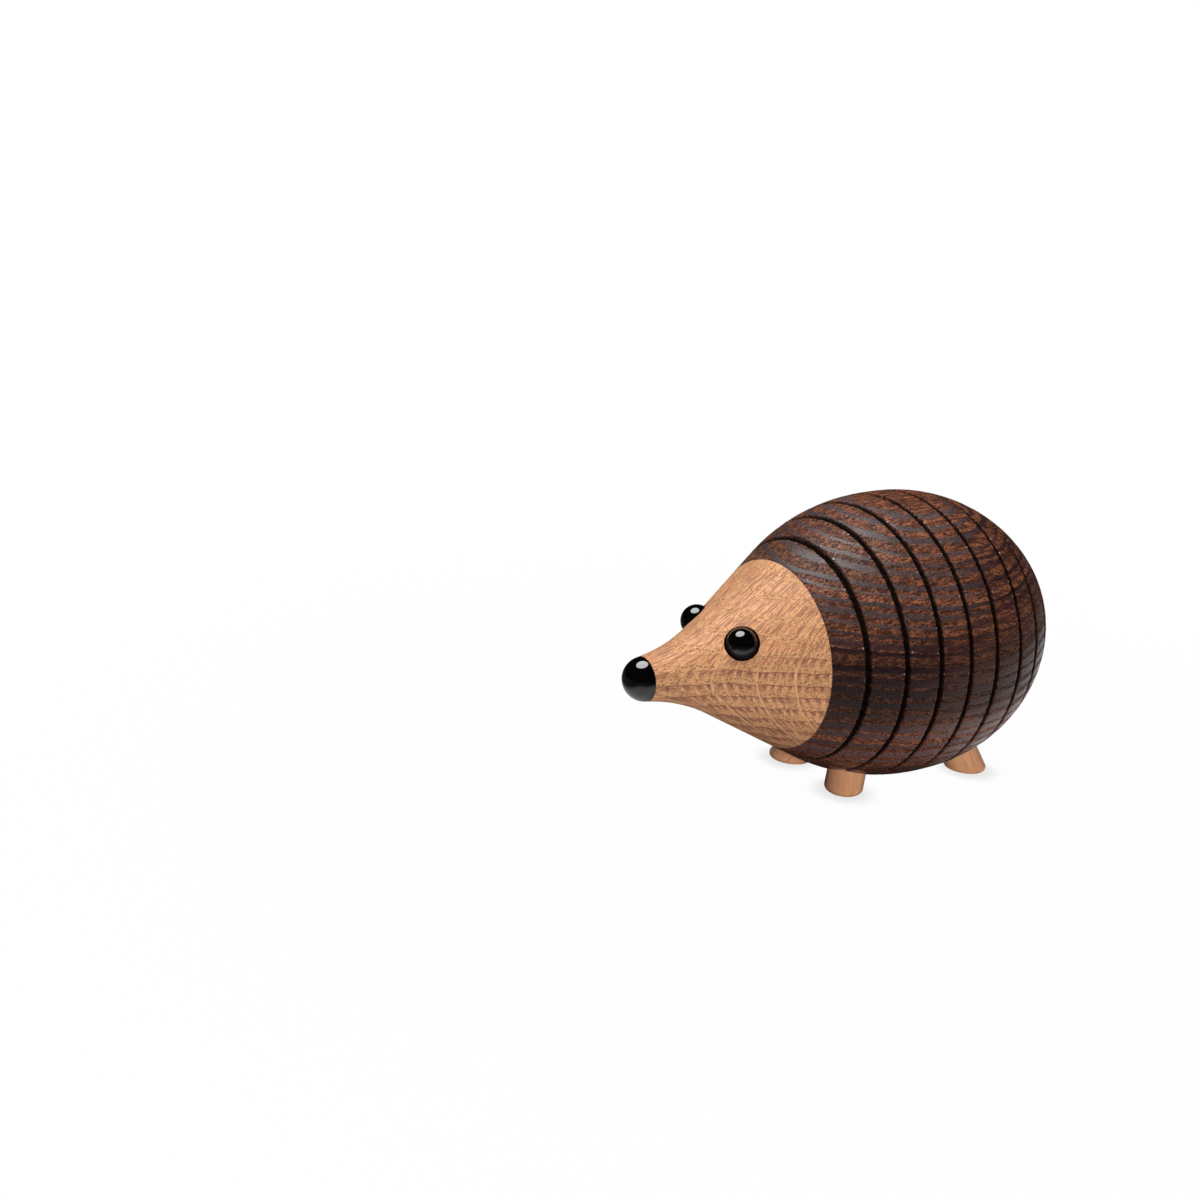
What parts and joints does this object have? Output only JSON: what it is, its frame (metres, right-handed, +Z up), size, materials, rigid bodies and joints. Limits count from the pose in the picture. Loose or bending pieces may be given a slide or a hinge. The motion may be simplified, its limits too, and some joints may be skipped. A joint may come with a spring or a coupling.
{
  "type": "hedgehog figurine",
  "caption": "Turned wooden hedgehog ornament with a ring-grooved egg body, a cone head with bead eyes and capped nose, and splayed dowel feet cut flat to stand on a table.",
  "frame": {"origin": "bottom centre of the whole figurine's box, on the table under the four feet", "axes": "+Z up, nose towards -Y, tail towards +Y, the animal's left side towards +X; X = 0 is the mirror plane"},
  "size_m": [0.059, 0.1, 0.06],
  "materials": {
    "dark_wood": "open-pored wood stained dark brown, oiled satin",
    "oak": "natural oak, fine sanded and oiled",
    "dowel_wood": "natural oak dowel, fine sanded",
    "black_gloss": "polished black"
  },
  "bodies": {
    "root": {"body": "dark_wood", "head": "oak", "nose": "black_gloss", "eye_left": "black_gloss", "eye_right": "black_gloss", "neck_dowel": "dowel_wood", "foot_front_left": "dowel_wood", "foot_front_right": "dowel_wood", "foot_rear_left": "dowel_wood", "foot_rear_right": "dowel_wood"}
  },
  "joints": []
}
